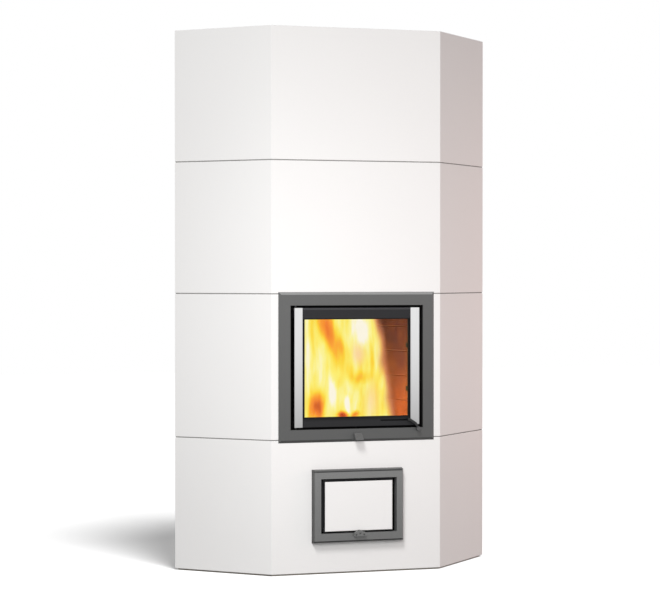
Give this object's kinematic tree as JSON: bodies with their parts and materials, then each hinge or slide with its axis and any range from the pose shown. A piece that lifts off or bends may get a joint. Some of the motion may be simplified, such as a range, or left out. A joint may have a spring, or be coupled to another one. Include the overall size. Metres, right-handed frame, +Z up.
{
  "type": "tiled corner stove",
  "caption": "Five-sided white corner stove in cast courses, with a framed glass fire door, an ash door, a brick firebox, smoke channels and a flue damper.",
  "frame": {"origin": "on the floor under the middle of the footprint's bounding box", "axes": "+Z up, -Y out of the front face with the doors, +Y towards the corner of the room, +X to the right seen from the front"},
  "size_m": [1.1314, 0.8662, 1.88],
  "materials": {
    "cast_white": "smooth white coated casting",
    "mortar": "grey bed joint",
    "refractory": "rough refractory casting",
    "firebrick": "fired brick, heat stained",
    "insulation": "pressed mineral board",
    "frame_grey": "satin grey heat-resistant paint",
    "leaf_black": "satin black heat-resistant paint",
    "bright_strip": "brushed bright steel",
    "zinc_steel": "plated steel",
    "pane": "clear heat-resistant glass",
    "rope": "woven glass-fibre rope",
    "cast_iron": "bare cast iron",
    "sheet_steel": "plain sheet steel",
    "tile_insert": "smooth white tile"
  },
  "bodies": {
    "stove": {"ash_chamber_bricks": "firebrick", "ash_floor": "refractory", "ash_frame": "frame_grey", "ash_pins": "leaf_black", "ash_screws": "zinc_steel", "base_plate": "refractory", "bed_joints": "mortar", "ceiling_slab": "refractory", "chamber_wall_back": "firebrick", "chamber_wall_left": "firebrick", "chamber_wall_right": "firebrick", "core_ring_1": "refractory", "core_ring_2": "refractory", "core_ring_3": "refractory", "core_ring_4": "refractory", "course_1_front": "cast_white", "course_1_rear": "cast_white", "course_2_left": "cast_white", "course_2_rear": "cast_white", "course_2_right": "cast_white", "course_3_front": "cast_white", "course_3_rear": "cast_white", "course_4_front": "cast_white", "course_4_rear": "cast_white", "damper_bolts": "zinc_steel", "damper_frame": "sheet_steel", "door_frame": "frame_grey", "door_frame_screws": "zinc_steel", "door_pins": "leaf_black", "fire_grate": "cast_iron", "firebrick_back": "firebrick", "firebrick_left": "firebrick", "firebrick_right": "firebrick", "floor_bricks": "firebrick", "flue_collar": "sheet_steel", "flue_spigot": "sheet_steel", "foundation": "refractory", "hearth_slab": "refractory", "insulation_board": "insulation", "riser_walls": "refractory", "smoke_baffle": "refractory", "top_slab": "cast_white"},
    "main_door": {"door_leaf": "leaf_black", "door_glass": "pane", "glass_rope": "rope", "door_rope": "rope", "glass_clips": "zinc_steel", "clip_screws": "zinc_steel", "door_strip_left": "bright_strip", "door_strip_right": "bright_strip"},
    "air_control": {"air_lever": "leaf_black", "air_shutter": "sheet_steel"},
    "bolt": {"door_bolt": "frame_grey"},
    "ash_door": {"ash_leaf": "leaf_black", "ash_tile": "tile_insert", "ash_rope": "rope"},
    "turn_latch": {"ash_latch": "frame_grey"},
    "ash_drawer": {"ash_box": "sheet_steel"},
    "damper": {"damper_plate": "sheet_steel", "damper_knob": "cast_iron"}
  },
  "joints": [
    {"name": "main_door_swing", "type": "hinge", "parent": "stove", "child": "main_door", "pos_m": [-0.2155, -0.40869, 0.697], "axis": [0, 0, -1], "range_deg": [0, 100]},
    {"name": "air_lever_slide", "type": "slide", "parent": "main_door", "child": "air_control", "axis": [-1, 0, 0], "range_m": [0, 0.093]},
    {"name": "door_bolt_lift", "type": "slide", "parent": "stove", "child": "bolt", "axis": [0, 0, 1], "range_m": [0, 0.006]},
    {"name": "ash_door_swing", "type": "hinge", "parent": "stove", "child": "ash_door", "pos_m": [-0.118, -0.42318, 0.23], "axis": [0, 0, -1], "range_deg": [0, 95]},
    {"name": "ash_latch_turn", "type": "hinge", "parent": "ash_door", "child": "turn_latch", "pos_m": [0, -0.41119, 0.143], "axis": [0, 1, 0], "range_deg": [0, 90]},
    {"name": "ash_box_slide", "type": "slide", "parent": "stove", "child": "ash_drawer", "axis": [0, -1, 0], "range_m": [0, 0.045]},
    {"name": "damper_slide", "type": "slide", "parent": "stove", "child": "damper", "axis": [0, 1, 0], "range_m": [0, 0.155]}
  ]
}
